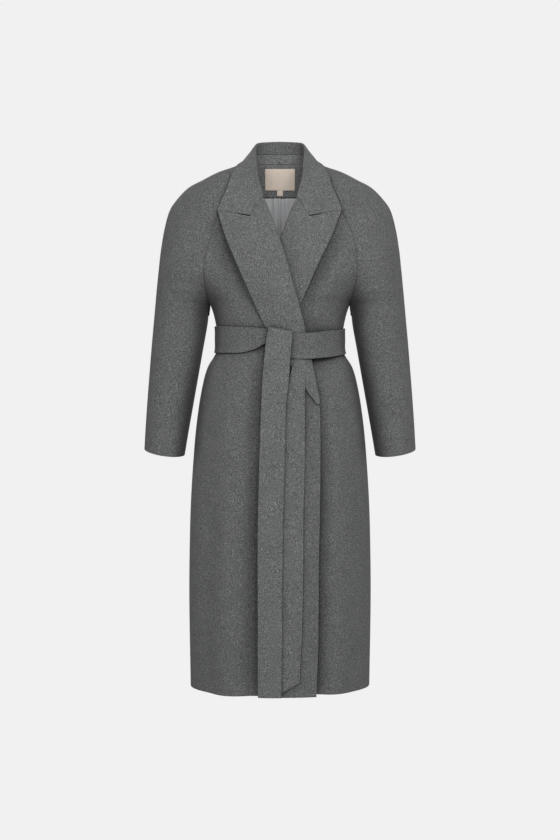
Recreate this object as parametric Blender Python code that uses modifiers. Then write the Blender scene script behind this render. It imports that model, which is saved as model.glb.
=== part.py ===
"""Long belted wrap coat with raglan sleeves, peak lapels and a turned-down collar, worn and filled out.

Metres, +Z up, the front of the coat faces -Y. The origin is the middle of the neck, level with the point where
the collar leaves the shoulders. The wearer's right front lies on top and is on the -X side.
Every piece of cloth is a grid of points worked out from the tables below, thickened to a wall.
"""
import math
from collections import namedtuple

import bmesh
import bpy
from mathutils import Vector

# ---- cloth and layers ----
WALL = 0.0022
BELT_WALL = 0.0026
SATIN_WALL = 0.0010
LABEL_WALL = 0.0010
SEAM_GAP = 0.0003
RAGLAN_GAP = {-1: 2 * SEAM_GAP, 1: 4 * SEAM_GAP}
LAP = 0.0012
LAYER = WALL + LAP
UNDER_INSET = 3 * LAYER
UNDER_INSET_SKIRT = 1.7 * LAYER
UNDER_RISE = 0.095
EASE = 0.0002
ROUNDNESS = 2.25

Section = namedtuple("Section", "z half_width front back")
BODY = (
    Section(0.022, 0.145, 0.010, 0.0790),
    Section(0.000, 0.160, 0.030, 0.0845),
    Section(-0.030, 0.185, 0.058, 0.0950),
    Section(-0.060, 0.210, 0.076, 0.1040),
    Section(-0.100, 0.235, 0.094, 0.1120),
    Section(-0.150, 0.250, 0.110, 0.1180),
    Section(-0.200, 0.250, 0.121, 0.1190),
    Section(-0.240, 0.232, 0.127, 0.1170),
    Section(-0.275, 0.190, 0.129, 0.1135),
    Section(-0.295, 0.166, 0.128, 0.1110),
    Section(-0.308, 0.1525, 0.126, 0.1090),
    Section(-0.354, 0.1400, 0.119, 0.1020),
    Section(-0.383, 0.1385, 0.116, 0.0990),
    Section(-0.411, 0.1405, 0.118, 0.1010),
    Section(-0.444, 0.1590, 0.126, 0.1100),
    Section(-0.486, 0.1705, 0.133, 0.1190),
    Section(-0.543, 0.1800, 0.139, 0.1280),
    Section(-0.607, 0.1870, 0.143, 0.1350),
    Section(-0.726, 0.1950, 0.147, 0.1430),
    Section(-0.823, 0.1980, 0.149, 0.1470),
    Section(-0.950, 0.1990, 0.150, 0.1490),
    Section(-1.138, 0.1960, 0.150, 0.1500),
)
HEM_Z = -1.138
UNDER_HEM_LIFT = 0.002
ARMPIT_Z = -0.308
ROW_EASE = 0.001
LOWER_ROWS = (-0.332, -0.354, -0.383, -0.403, -0.415, -0.428, -0.444, -0.486, -0.526, -0.540, -0.600,
              -0.690, -0.800, -0.920, -1.030, HEM_Z)

# ---- raglan seam, and the top line of the sleeve that goes with each point of it ----
Raglan = namedtuple("Raglan", "z seam_x reach ridge_x ridge_z")
RAGLAN = (
    Raglan(0.000, 0.0710, 97, 0.0760, 0.0040),
    Raglan(-0.018, 0.0775, 96, 0.1040, -0.0065),
    Raglan(-0.040, 0.0885, 94, 0.1380, -0.0175),
    Raglan(-0.065, 0.1035, 90, 0.1720, -0.0345),
    Raglan(-0.095, 0.1215, 90, 0.2010, -0.0500),
    Raglan(-0.125, 0.1385, 91, 0.2250, -0.0735),
    Raglan(-0.155, 0.1510, 93, 0.2430, -0.1000),
    Raglan(-0.185, 0.1590, 96, 0.2545, -0.1420),
    Raglan(-0.215, 0.1635, 100, 0.2620, -0.1880),
    Raglan(-0.245, 0.1635, 106, 0.2665, -0.2300),
    Raglan(-0.272, 0.1605, 121, 0.2695, -0.2600),
    Raglan(-0.292, 0.1560, 139, 0.2718, -0.2840),
)
Ring = namedtuple("Ring", "z inner_x outer_x half_depth lean y")
SLEEVE = (
    Ring(-0.3055, 0.1535, 0.2735, 0.0785, 0.005, 0.000),
    Ring(-0.345, 0.1592, 0.2769, 0.0725, 0.006, -0.001),
    Ring(-0.400, 0.1690, 0.2816, 0.0668, 0.008, -0.003),
    Ring(-0.460, 0.1795, 0.2862, 0.0620, 0.010, -0.005),
    Ring(-0.520, 0.1900, 0.2905, 0.0590, 0.011, -0.008),
    Ring(-0.580, 0.2005, 0.2942, 0.0555, 0.013, -0.011),
    Ring(-0.628, 0.2085, 0.2967, 0.0530, 0.014, -0.013),
)
CUFF_DROP = 0.16
SLEEVE_COLUMNS = 16
ARM_AXIS_TOP_X = 0.12
ARM_AXIS_LOW_X = 0.235
SHOULDER_Z = -0.09

# ---- front edge: neck seam, roll line, then the plain edge; x is counted past the middle ----
Edge = namedtuple("Edge", "z x")
FRONT_EDGE = (
    Edge(0.000, -0.0590),
    Edge(-0.036, -0.0530),
    Edge(-0.066, -0.0455),
    Edge(-0.084, -0.0363),
    Edge(-0.1254, -0.0191),
    Edge(-0.1674, -0.0042),
    Edge(-0.2046, 0.0084),
    Edge(-0.2645, 0.0248),
    Edge(-0.3161, 0.0395),
    Edge(-0.3747, 0.0543),
    Edge(-0.4305, 0.0655),
    Edge(-0.4719, 0.0741),
    Edge(-0.5275, 0.0831),
    Edge(-0.6771, 0.0842),
    Edge(-0.8500, 0.0815),
    Edge(-1.0100, 0.0800),
    Edge(HEM_Z, 0.0762),
)
GORGE_Z = -0.084
BREAK_Z = -0.5275
NOSE = 0.0064
FRONT_COLUMNS = 12

# ---- lapels: outer edge, x counted like the front edge ----
TOP_LAPEL = (
    Edge(-0.1118, -0.1333),
    Edge(-0.1721, -0.1149),
    Edge(-0.2457, -0.0842),
    Edge(-0.3140, -0.0539),
    Edge(-0.3594, -0.0326),
    Edge(-0.4200, 0.0060),
    Edge(-0.4925, 0.0532),
    Edge(-0.5131, 0.0656),
    Edge(-0.5280, 0.0790),
)
UNDER_LAPEL = (
    Edge(-0.1118, -0.1310),
    Edge(-0.1721, -0.1080),
    Edge(-0.2220, -0.0843),
    Edge(-0.2594, -0.0675),
    Edge(-0.3157, -0.0425),
    Edge(-0.3700, -0.0170),
    Edge(-0.4200, 0.0090),
    Edge(-0.4925, 0.0520),
    Edge(-0.5280, 0.0780),
)
LAPEL_ROWS = 15
LAPEL_END = 0.985
NOTCH_AT = 0.26
NOTCH_DROP = 0.0335
NOTCH_FADE = 0.22
NOTCH_GAP = 0.0025
LAPEL_ACROSS = (0.0, 0.13, NOTCH_AT, 0.50, 0.75, 1.0)
WRAP_DEPTH = 0.0120
WRAP_TAPER = 0.55
TAPER_FROM = 0.80
ROLL_HALF = 0.0012
ROLL_EASE = 0.0014
TURN_OUT = -0.9 * WALL

# ---- collar: neck seam, fold and outer edge of the fall, from the middle of the back to the gorge ----
Station = namedtuple("Station", "seam fold edge")
COLLAR = (
    Station((0.0000, 0.0785, 0.0190), (0.0000, 0.0770, 0.0695), (0.0000, 0.1010, -0.0180)),
    Station((0.0300, 0.0750, 0.0180), (0.0230, 0.0745, 0.0682), (0.0400, 0.0990, -0.0180)),
    Station((0.0520, 0.0620, 0.0160), (0.0425, 0.0610, 0.0640), (0.0690, 0.0930, -0.0120)),
    Station((0.0650, 0.0400, 0.0130), (0.0510, 0.0400, 0.0560), (0.0825, 0.0635, 0.0030)),
    Station((0.0700, 0.0150, 0.0090), (0.0520, 0.0080, 0.0310), (0.0870, 0.0180, 0.0045)),
    Station((0.0690, -0.0100, 0.0040), (0.0512, -0.0170, 0.0150), (0.0905, -0.0260, 0.0008)),
    Station((0.0670, -0.0180, -0.0020), (0.0505, -0.0290, 0.0065), (0.0965, -0.0480, -0.0092)),
    Station((0.0640, -0.0260, -0.0100), (0.0495, -0.0410, -0.0040), (0.1040, -0.0645, -0.0325)),
    Station((0.0570, -0.0460, -0.0330), (0.0465, -0.0655, -0.0370), (0.1138, -0.0778, -0.0645)),
    Station((0.0480, -0.0630, -0.0600), (0.0385, -0.0830, -0.0690), (0.1235, -0.0840, -0.0870)),
)
STAND_SHARE = 0.45
FOLD_RADIUS = 0.0034
FOLD_START = 1.6 * FOLD_RADIUS
FOLD_TURNS = (180, 125, 70, 15)
FALL_STEPS = 5
FALL_BULGE = 0.0042
MATERIALS = {}
COLLECTION = "wrap_coat"


def blend(rows, z):
    """Read a table at z, its first column, with a smooth curve through its rows, the highest one first."""
    if z >= rows[0][0]:
        return rows[0]
    if z <= rows[-1][0]:
        return rows[-1]
    i = next(k for k in range(len(rows) - 1) if rows[k + 1][0] <= z)
    a, b = rows[i], rows[i + 1]
    before, after = rows[max(i - 1, 0)], rows[min(i + 2, len(rows) - 1)]
    step = b[0] - a[0]
    t = (z - a[0]) / step
    values = []
    for k in range(len(a)):
        m0 = (b[k] - before[k]) / (b[0] - before[0]) * step
        m1 = (after[k] - a[k]) / (after[0] - a[0]) * step
        h = (2 * t**3 - 3 * t**2 + 1) * a[k] + (t**3 - 2 * t**2 + t) * m0
        values.append(h + (3 * t**2 - 2 * t**3) * b[k] + (t**3 - t**2) * m1)
    return type(a)(*values)


def smooth(t):
    t = min(max(t, 0.0), 1.0)
    return t * t * (3 - 2 * t)


def lerp(a, b, t):
    return a + (b - a) * t


def girth_angle(x, half_width):
    """Angle round the body, from the middle, of the point x to the side."""
    share = min(abs(x) / half_width, 1.0)
    return math.copysign(math.asin(share ** (ROUNDNESS / 2)), x)


def body_point(angle, z, out=0.0, face=-1):
    """Point of the body at an angle from its middle: face -1 is the front, +1 the back."""
    section = blend(BODY, z)
    depth = section.front if face < 0 else section.back
    x = (section.half_width + out) * abs(math.sin(angle)) ** (2 / ROUNDNESS)
    y = (depth + out) * abs(math.cos(angle)) ** (2 / ROUNDNESS)
    return Vector((math.copysign(x, angle), face * y, z))


def on_body(x, z, out=0.0, face=-1):
    """Point of the body x to the side of its middle, out metres off its outer face."""
    return body_point(girth_angle(x, blend(BODY, z).half_width + out), z, out, face)


def above_armpit(z):
    return z > ARMPIT_Z + ROW_EASE


def side_x(z):
    """Half-width of a body panel: the raglan seam above the armpit, the side seam below it."""
    if above_armpit(z):
        if z < RAGLAN[-1].z:
            return lerp(RAGLAN[-1].seam_x, blend(BODY, ARMPIT_Z).half_width,
                        (z - RAGLAN[-1].z) / (ARMPIT_Z - RAGLAN[-1].z))
        return blend(RAGLAN, z).seam_x
    return blend(BODY, z).half_width


# ---- making pieces ----
def material(name, color, roughness, sheen=0.0):
    """A cloth material, made once."""
    if name not in MATERIALS:
        made = bpy.data.materials.new(name)
        made.use_nodes = True
        shader = made.node_tree.nodes["Principled BSDF"]
        shader.inputs["Base Color"].default_value = (*color, 1.0)
        shader.inputs["Roughness"].default_value = roughness
        shader.inputs["Sheen Weight"].default_value = sheen
        MATERIALS[name] = made
    return MATERIALS[name]


def wool():
    return material("wool", (0.125, 0.127, 0.126), 0.95, 0.3)


def satin():
    return material("lining_satin", (0.235, 0.235, 0.245), 0.45)


def woven_label():
    return material("label_satin", (0.52, 0.45, 0.39), 0.6)


def body_axis(point):
    return Vector((0.0, 0.0, point.z))


def sheet(name, grid, wall, cloth, closed=(), inside=body_axis, side=-1):
    """Cloth through a grid of points: closed rows join at their ends, and the wall grows inward from the grid."""
    mesh = bpy.data.meshes.new(name)
    bm = bmesh.new()
    rows = []
    for i, row in enumerate(grid):
        verts = [bm.verts.new(point) for point in (row[:-1] if i in closed else row)]
        rows.append(verts + verts[:1] if i in closed else verts)
    facing = 0.0
    for upper, lower in zip(rows, rows[1:]):
        for j in range(len(upper) - 1):
            face = bm.faces.new((upper[j], upper[j + 1], lower[j + 1], lower[j]))
            face.normal_update()
            centre = face.calc_center_median()
            facing += face.normal.dot(centre - inside(centre)) * face.calc_area()
    if facing < 0:
        bmesh.ops.reverse_faces(bm, faces=bm.faces)
    bm.to_mesh(mesh)
    bm.free()
    piece = bpy.data.objects.new(name, mesh)
    piece.data.materials.append(cloth)
    bpy.data.collections[COLLECTION].objects.link(piece)
    solidify = piece.modifiers.new("wall", "SOLIDIFY")
    solidify.thickness = wall
    solidify.offset = side
    solidify.use_even_offset = True
    return piece


# ---- body panels ----
def panel_rows():
    return [row.z for row in RAGLAN] + [ARMPIT_Z, *LOWER_ROWS]


def under_inset(x, z):
    """How far the under front lies in below the top front's lapel and edge: nothing at its own side seam."""
    edge = blend(FRONT_EDGE, z).x
    depth = lerp(UNDER_INSET, UNDER_INSET_SKIRT, smooth((BREAK_Z - z) / 0.08))
    return depth * (1 - smooth((x - edge) / UNDER_RISE))


def seam_end(point, z, side, face):
    """Move the side end of a row off its seam by the seam's gap."""
    if above_armpit(z):
        return point - Vector((side * RAGLAN_GAP[face], 0.0, 0.0))
    return point + Vector((0.0, face * SEAM_GAP, 0.0))


def side_angle(z):
    if above_armpit(z):
        return girth_angle(side_x(z), blend(BODY, z).half_width)
    return math.pi / 2


def front_panel(name, side):
    """One front, from its side or raglan seam to its front edge beyond the middle; side +1 is the under one."""
    grid = []
    for z in panel_rows():
        edge = blend(FRONT_EDGE, z).x
        if z > BREAK_Z:
            edge -= NOSE
        outer = side * side_angle(z)
        inner = girth_angle(-side * edge, blend(BODY, z).half_width)
        row_z = z + UNDER_HEM_LIFT if side > 0 and z == HEM_Z else z
        row = []
        for j in range(FRONT_COLUMNS + 1):
            angle = lerp(outer, inner, j / FRONT_COLUMNS)
            inset = under_inset(body_point(angle, z).x, z) if side > 0 else 0.0
            row.append(body_point(angle, row_z, -inset))
        row[0] = seam_end(row[0], z, side, -1)
        grid.append(row)
    return sheet(name, grid, WALL, wool())


BACK_COLUMNS = 14
NECK_RISE = ((0, 0.0180), (1, 0.0130), (2, 0.0060))


def back_row(i, z, out, columns=range(BACK_COLUMNS + 1)):
    """Points of the back's row i at the given columns, out metres off its outer face."""
    reach = side_angle(z)
    rise = dict(NECK_RISE).get(i, 0.0)
    row = []
    for j in columns:
        share = 2 * j / BACK_COLUMNS - 1
        row.append(body_point(share * reach, z + rise * (1 - share**4), out, 1))
    return row


def back_panel():
    """The whole back in one, from side seam to side seam, with its neck curve at the top."""
    grid = []
    for i, z in enumerate(panel_rows()):
        row = back_row(i, z, 0.0)
        row[0] = seam_end(row[0], z, -1, 1)
        row[-1] = seam_end(row[-1], z, 1, 1)
        grid.append(row)
    return sheet("back", grid, WALL, wool())


# ---- sleeves ----
def seam_row(station, side):
    """Arc of the sleeve from its front raglan seam over its top line to its back seam."""
    front = on_body(side * station.seam_x, station.z)
    back = on_body(side * station.seam_x, station.z, 0.0, 1)
    reach = math.radians(station.reach)
    middle = (front + back) / 2
    top = Vector((side * station.ridge_x, 0.0, station.ridge_z))
    along = (top - middle) / (1 - math.cos(reach))
    across = (back - front) / 2 / math.sin(reach)
    row = []
    for j in range(SLEEVE_COLUMNS + 1):
        angle = lerp(-reach, reach, j / SLEEVE_COLUMNS)
        row.append(top - along + along * math.cos(angle) + across * math.sin(angle))
    return row


def ring_row(ring, side):
    """Closed ring of the sleeve below the armpit, from the underarm seam round and back to it."""
    radius = (ring.outer_x - ring.inner_x) / 2
    centre = Vector((side * (ring.inner_x + radius), ring.y, ring.z))
    along = Vector((side * radius, 0.0, ring.lean / 2))
    droop = CUFF_DROP * smooth((ARMPIT_Z - ring.z) / (ARMPIT_Z - SLEEVE[-1].z))
    across = Vector((0.0, ring.half_depth, ring.half_depth * droop))
    row = []
    for j in range(SLEEVE_COLUMNS + 1):
        angle = lerp(-math.pi, math.pi, j / SLEEVE_COLUMNS)
        row.append(centre + along * math.cos(angle) + across * math.sin(angle))
    return row


def sleeve(name, side):
    """Raglan sleeve: a tube below the armpit that opens into the raglan seams above it."""
    grid = [seam_row(station, side) for station in RAGLAN]
    closed = range(len(grid), len(grid) + len(SLEEVE))
    grid += [ring_row(ring, side) for ring in SLEEVE]

    def arm_axis(point):
        """A point inside the arm, level with the given one, or at the shoulder's height."""
        x = lerp(ARM_AXIS_TOP_X, ARM_AXIS_LOW_X, smooth(point.z / ARMPIT_Z))
        return Vector((side * x, 0.0, min(point.z, SHOULDER_Z)))

    return sheet(name, grid, WALL, wool(), closed, arm_axis)


# ---- lapels and collar ----
def lapel_point(edge_rows, side, u, t):
    """Place on a lapel in the front's plane: u down it, t from the roll line to the outer edge."""
    roll_z = lerp(GORGE_Z, BREAK_Z, u)
    edge_z = lerp(edge_rows[0].z, edge_rows[-1].z, u)
    roll_x = blend(FRONT_EDGE, roll_z).x
    edge_x = blend(edge_rows, edge_z).x
    hat = t / NOTCH_AT if t < NOTCH_AT else (1 - t) / (1 - NOTCH_AT)
    sag = NOTCH_DROP * hat * (1 - smooth(u / NOTCH_FADE))
    return -side * lerp(roll_x, edge_x, t), lerp(roll_z, edge_z, t) - sag


def lapel(name, side, edge_rows):
    """Facing side of a lapel: it starts inside the front, turns round its edge and lies on the front."""
    grid = []
    for i in range(LAPEL_ROWS + 1):
        u = LAPEL_END * i / LAPEL_ROWS
        gap = NOTCH_GAP if i == 0 else 0.0
        roll_x, roll_z = lapel_point(edge_rows, side, u, 0.0)
        taper = 1 - WRAP_TAPER * smooth((u - TAPER_FROM) / (1 - TAPER_FROM))

        def at(x, z, out):
            base = under_inset(x, z) if side > 0 else 0.0
            return on_body(x, z, out - base + math.copysign(EASE, out))

        row = [
            at(roll_x + side * WRAP_DEPTH * taper, roll_z - gap, -WALL - LAYER),
            at(roll_x + side * ROLL_HALF, roll_z - gap, -WALL - LAYER),
            at(roll_x - side * ROLL_HALF, roll_z - gap, TURN_OUT),
            at(roll_x - side * ROLL_HALF, roll_z - gap, LAP),
        ]
        for t in LAPEL_ACROSS:
            x, z = lapel_point(edge_rows, side, u, t)
            row.append(at(x + side * ROLL_EASE * (1 - t), z - gap, LAYER))
        grid.append(row)
    return sheet(name, grid, WALL, wool())


def collar_profile(station, side):
    """Stand, fold and fall of the collar at one station: the stand's points, then the turned part's."""
    seam, fold, edge = (Vector((side * p[0], p[1], p[2])) for p in station)
    up = (fold - seam).normalized()
    out = edge - fold
    out = (out - up * out.dot(up)).normalized()
    split = seam.lerp(fold, STAND_SHARE)
    centre = fold - up * FOLD_RADIUS + out * FOLD_RADIUS
    turned = [split + up * SEAM_GAP, fold - up * FOLD_START]
    for degrees in FOLD_TURNS:
        turn = math.radians(degrees)
        turned.append(centre + out * FOLD_RADIUS * math.cos(turn) + up * FOLD_RADIUS * math.sin(turn))
    start = turned[-1]
    for k in range(1, FALL_STEPS + 1):
        t = k / FALL_STEPS
        bulge = out * FALL_BULGE * math.sin(math.pi * t)
        turned.append(start.lerp(edge, t) + bulge)
    return [seam, split - up * SEAM_GAP], turned


def gorge_profile(side, edge_rows, count):
    """Last row of the collar: it turns round the front's edge and runs along the gorge and the notch."""
    roll_x, roll_z = lapel_point(edge_rows, side, 0.0, 0.0)

    behind = -WALL - LAYER
    row = [
        on_body(roll_x + side * WRAP_DEPTH, roll_z, behind),
        on_body(roll_x + side * WRAP_DEPTH / 2, roll_z, behind),
        on_body(roll_x + side * ROLL_HALF, roll_z, behind),
        on_body(roll_x - side * EASE, roll_z, TURN_OUT),
        on_body(roll_x - side * EASE, roll_z, LAP),
        on_body(roll_x + side * ROLL_EASE, roll_z, LAYER - WALL / 2),
    ]
    for k in range(1, count + 1):
        x, z = lapel_point(edge_rows, side, 0.0, LAPEL_ACROSS[k])
        row.append(on_body(x, z, LAYER - WALL / 2))
    return row


def collar():
    """Turned-down collar in one, gorge to gorge, and the stand inside it from shoulder to shoulder."""
    stand, turned = [], []
    stations = [(row, -1) for row in reversed(COLLAR)] + [(row, 1) for row in COLLAR[1:]]
    for station, side in stations:
        low, high = collar_profile(station, side)
        turned.append(high)
        if station in COLLAR[:-2]:
            stand.append(low)
    turned.insert(0, gorge_profile(-1, TOP_LAPEL, FALL_STEPS))
    turned.append(gorge_profile(1, UNDER_LAPEL, FALL_STEPS))
    sheet("collar_stand", stand, WALL, wool(), side=0)
    return sheet("collar", turned, WALL, wool(), side=0)


# ---- inside the neck ----
FACING_COLUMNS = range(1, BACK_COLUMNS)
LINING_COLUMNS = range(1, BACK_COLUMNS, 2)
FACING_ROWS = 4
FACING_END = -0.0545
LINING_TOP = -0.0565
LINING_CLEAR = 0.028


def neck_facing():
    """Band of wool inside the back neck."""
    rows = panel_rows()[:FACING_ROWS - 1] + [FACING_END]
    depth = WALL + LAP
    grid = []
    for i, z in enumerate(rows):
        grid.append(back_row(i, z, -depth, FACING_COLUMNS))
    return sheet("neck_facing", grid, WALL, wool())


def lining():
    """Satin back lining, from the facing down to just above the hem."""
    rows = [LINING_TOP] + [z for z in panel_rows() if HEM_Z < z < LINING_TOP] + [HEM_Z + LINING_CLEAR]
    depth = WALL + 2 * LAP
    grid = [back_row(-1, z, -depth, LINING_COLUMNS) for z in rows]
    return sheet("back_lining", grid, SATIN_WALL, satin())


LABEL_WIDTH = 0.067
LABEL_TOP = 0.0080
LABEL_HEIGHT = 0.0458
TAB_WIDTH = 0.0130
TAB_HEIGHT = 0.0118
LABEL_LIFT = 0.0008


def label(name, width, top, height):
    """A flat woven label lying on the facing."""
    depth = 2 * WALL + LAP + LABEL_LIFT
    grid = []
    for k in range(3):
        z = top - height * k / 2
        row = []
        for j in range(5):
            x = width * (j / 4 - 0.5)
            row.append(on_body(x, z, -depth, 1))
        grid.append(row)
    return sheet(name, grid, LABEL_WALL, woven_label())


# ---- belt ----
Girth = namedtuple("Girth", "turn top bottom out")
BAND = (
    Girth(357, -0.3770, -0.4280, 0.0106),
    Girth(350, -0.3773, -0.4304, 0.0106),
    Girth(340, -0.3755, -0.4300, 0.0104),
    Girth(329, -0.3730, -0.4274, 0.0092),
    Girth(318, -0.3691, -0.4248, 0.0062),
    Girth(305, -0.3665, -0.4210, 0.0048),
    Girth(285, -0.3617, -0.4161, 0.0042),
    Girth(270, -0.3575, -0.4125, 0.0042),
    Girth(245, -0.3550, -0.4100, 0.0042),
    Girth(215, -0.3530, -0.4070, 0.0042),
    Girth(180, -0.3520, -0.4060, 0.0042),
    Girth(145, -0.3520, -0.4060, 0.0042),
    Girth(115, -0.3530, -0.4080, 0.0042),
    Girth(90, -0.3540, -0.4114, 0.0042),
    Girth(70, -0.3560, -0.4135, 0.0042),
    Girth(50, -0.3590, -0.4155, 0.0042),
    Girth(32, -0.3620, -0.4164, 0.0042),
    Girth(20, -0.3634, -0.4106, 0.0054),
    Girth(15.5, -0.3648, -0.4062, 0.0062),
    Girth(11, -0.3665, -0.3992, 0.0068),
    Girth(8, -0.3668, -0.3960, 0.0070),
)
BAND_STEPS = 44
BAND_ACROSS = 2


def girth_point(turn, z, out):
    """Point round the waist, turn degrees from the middle of the front by the wearer's right side."""
    signed = -turn if turn <= 180 else 360 - turn
    if abs(signed) <= 90:
        return body_point(math.radians(signed), z, out)
    return body_point(math.radians(math.copysign(180 - abs(signed), signed)), z, out, 1)


def belt_band():
    """The belt round the waist, from its end behind the knot, round the back, to its crossing at the knot."""
    grid = []
    for i in range(BAND_STEPS + 1):
        row = blend(BAND, lerp(BAND[0].turn, BAND[-1].turn, i / BAND_STEPS))
        points = []
        for k in range(BAND_ACROSS + 1):
            z = lerp(row.top, row.bottom, k / BAND_ACROSS)
            points.append(girth_point(row.turn, z, row.out))
        grid.append(points)
    return sheet("belt_band", grid, BELT_WALL, wool())


Strip = namedtuple("Strip", "z left right out")
TAIL_FRONT = (
    Strip(-0.3749, -0.0200, 0.0240, 0.0070),
    Strip(-0.3660, -0.0225, 0.0255, 0.0080),
    Strip(-0.3625, -0.0238, 0.0262, 0.0115),
    Strip(-0.3645, -0.0242, 0.0263, 0.0160),
    Strip(-0.3710, -0.0252, 0.0259, 0.0185),
    Strip(-0.3850, -0.0280, 0.0249, 0.0196),
    Strip(-0.4030, -0.0305, 0.0236, 0.0196),
    Strip(-0.4244, -0.0324, 0.0219, 0.0186),
    Strip(-0.4604, -0.0355, 0.0196, 0.0160),
    Strip(-0.5172, -0.0385, 0.0136, 0.0135),
    Strip(-0.6237, -0.0423, 0.0104, 0.0120),
    Strip(-0.7814, -0.0461, 0.0060, 0.0115),
    Strip(-0.9739, -0.0460, 0.0044, 0.0115),
    Strip(-1.1365, -0.0460, 0.0029, 0.0115),
)
TAIL_BACK = (
    Strip(-0.4100, 0.0300, 0.0510, 0.0068),
    Strip(-0.4300, 0.0310, 0.0522, 0.0070),
    Strip(-0.4567, 0.0230, 0.0526, 0.0072),
    Strip(-0.5423, 0.0060, 0.0526, 0.0074),
    Strip(-0.6503, 0.0000, 0.0521, 0.0056),
    Strip(-0.7564, -0.0020, 0.0493, 0.0056),
    Strip(-0.8505, -0.0030, 0.0489, 0.0056),
    Strip(-0.9826, -0.0060, 0.0466, 0.0056),
    Strip(-1.1060, -0.0100, 0.0413, 0.0056),
)
TAIL_ACROSS = 4
TAIL_POINT_DROP = 0.0305


def tail_row(strip, drop=0.0):
    """Row across a hanging end; drop slants it down to its left edge."""
    row = []
    for j in range(TAIL_ACROSS + 1):
        x = lerp(strip.left, strip.right, j / TAIL_ACROSS)
        z = strip.z - drop * (1 - j / TAIL_ACROSS)
        row.append(on_body(x, z, strip.out))
    return row


def belt_tail_front():
    """The end that comes over the knot from behind and hangs in front, cut square."""
    return sheet("belt_tail_front", [tail_row(strip) for strip in TAIL_FRONT], BELT_WALL, wool())


def belt_tail_back():
    """The end that hangs from under the belt, behind the other one, cut on the slant."""
    grid = [tail_row(strip) for strip in TAIL_BACK[:-1]]
    grid.append(tail_row(TAIL_BACK[-1], TAIL_POINT_DROP))
    return sheet("belt_tail_back", grid, BELT_WALL, wool())


KNOT = (
    Strip(-0.3755, -0.0170, 0.0150, 0.0070),
    Strip(-0.3880, -0.0190, 0.0120, 0.0070),
    Strip(-0.4010, -0.0210, 0.0080, 0.0070),
)


def belt_knot():
    """The belt's cloth inside the knot, under the crossing, up to the end that comes over the top."""
    return sheet("belt_knot", [tail_row(strip) for strip in KNOT], BELT_WALL, wool())


def build():
    for old in list(bpy.data.objects):
        bpy.data.objects.remove(old, do_unlink=True)
    made = bpy.data.collections.new(COLLECTION)
    bpy.context.scene.collection.children.link(made)
    back_panel()
    front_panel("front_right", -1)
    front_panel("front_left", 1)
    sleeve("sleeve_right", -1)
    sleeve("sleeve_left", 1)
    lapel("lapel_right", -1, TOP_LAPEL)
    lapel("lapel_left", 1, UNDER_LAPEL)
    collar()
    neck_facing()
    lining()
    label("neck_label", LABEL_WIDTH, LABEL_TOP, LABEL_HEIGHT)
    label("size_tab", TAB_WIDTH, LABEL_TOP - LABEL_HEIGHT - SEAM_GAP, TAB_HEIGHT)
    belt_band()
    belt_knot()
    belt_tail_front()
    belt_tail_back()


build()
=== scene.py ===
"""Looks of the long belted wrap coat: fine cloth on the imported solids, materials, light and camera.

Metres, +Z up, the front of the coat faces -Y. The tables and the curves through them are those of the solids,
but for a few millimetres at the collar's edge over the shoulders and at the lapels' lower ends. Only the fine
cloth has the folds, the hollow beside the top front's edge and the raglan table's top_x.
"""
import math
from collections import namedtuple
from functools import lru_cache

import bpy
import numpy as np
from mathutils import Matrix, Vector


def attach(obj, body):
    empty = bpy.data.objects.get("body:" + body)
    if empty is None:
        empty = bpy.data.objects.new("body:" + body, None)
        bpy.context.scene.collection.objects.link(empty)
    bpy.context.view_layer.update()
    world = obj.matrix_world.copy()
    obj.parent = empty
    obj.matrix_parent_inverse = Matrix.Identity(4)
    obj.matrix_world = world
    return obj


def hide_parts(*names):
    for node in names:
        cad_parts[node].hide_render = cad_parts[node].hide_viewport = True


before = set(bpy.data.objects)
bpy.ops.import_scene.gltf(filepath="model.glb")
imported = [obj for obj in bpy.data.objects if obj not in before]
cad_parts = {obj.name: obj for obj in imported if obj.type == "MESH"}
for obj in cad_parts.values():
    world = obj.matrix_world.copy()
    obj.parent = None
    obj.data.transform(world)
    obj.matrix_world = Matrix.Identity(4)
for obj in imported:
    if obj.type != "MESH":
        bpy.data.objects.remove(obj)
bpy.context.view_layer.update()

# ---- cloth, layers and landmarks ----
WALL = 0.0022
BELT_WALL = 0.0026
SATIN_WALL = 0.0010
LABEL_WALL = 0.0010
SEAM_GAP = 0.0003
SEWN_GAP = 0.00002
LAP = 0.0012
LAYER = WALL + LAP
UNDER_INSET = 3 * LAYER
UNDER_INSET_SKIRT = 1.7 * LAYER
UNDER_RISE = 0.095
INSET_CHANGE = 0.08
UNDER_HOLLOW = 0.012
HOLLOW_TOP = -0.46
HOLLOW_FADE = 0.25
HOLLOW_OFF = 0.004
HOLLOW_WIDTH = 0.022
EASE = 0.0002
EDGE_ROUND = 0.0008
THIN_EDGE_ROUND = 0.0003
BELT_EDGE_ROUND = 0.0010
ROUNDNESS = 2.25
HEM_Z = -1.138
UNDER_HEM_LIFT = 0.002
UNDER_HEM_LIFT_FROM = -1.03
ARMPIT_Z = -0.308
ARMPIT_NEAR = 0.001
GORGE_Z = -0.084
BREAK_Z = -0.5275
NOSE = 0.0064
NOSE_FADE = 0.004
CUFF_DROP = 0.16
LAPEL_END = 0.996
NOTCH_AT = 0.26
NOTCH_DROP = 0.0335
NOTCH_FADE = 0.22
LAPEL_ACROSS = (0.0, 0.13, NOTCH_AT, 0.50, 0.75, 1.0)
STAND_SHARE = 0.45
FOLD_RADIUS = 0.0034
FALL_STEPS = 5
FALL_BULGE = 0.0042
TAIL_POINT_DROP = 0.0305

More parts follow.
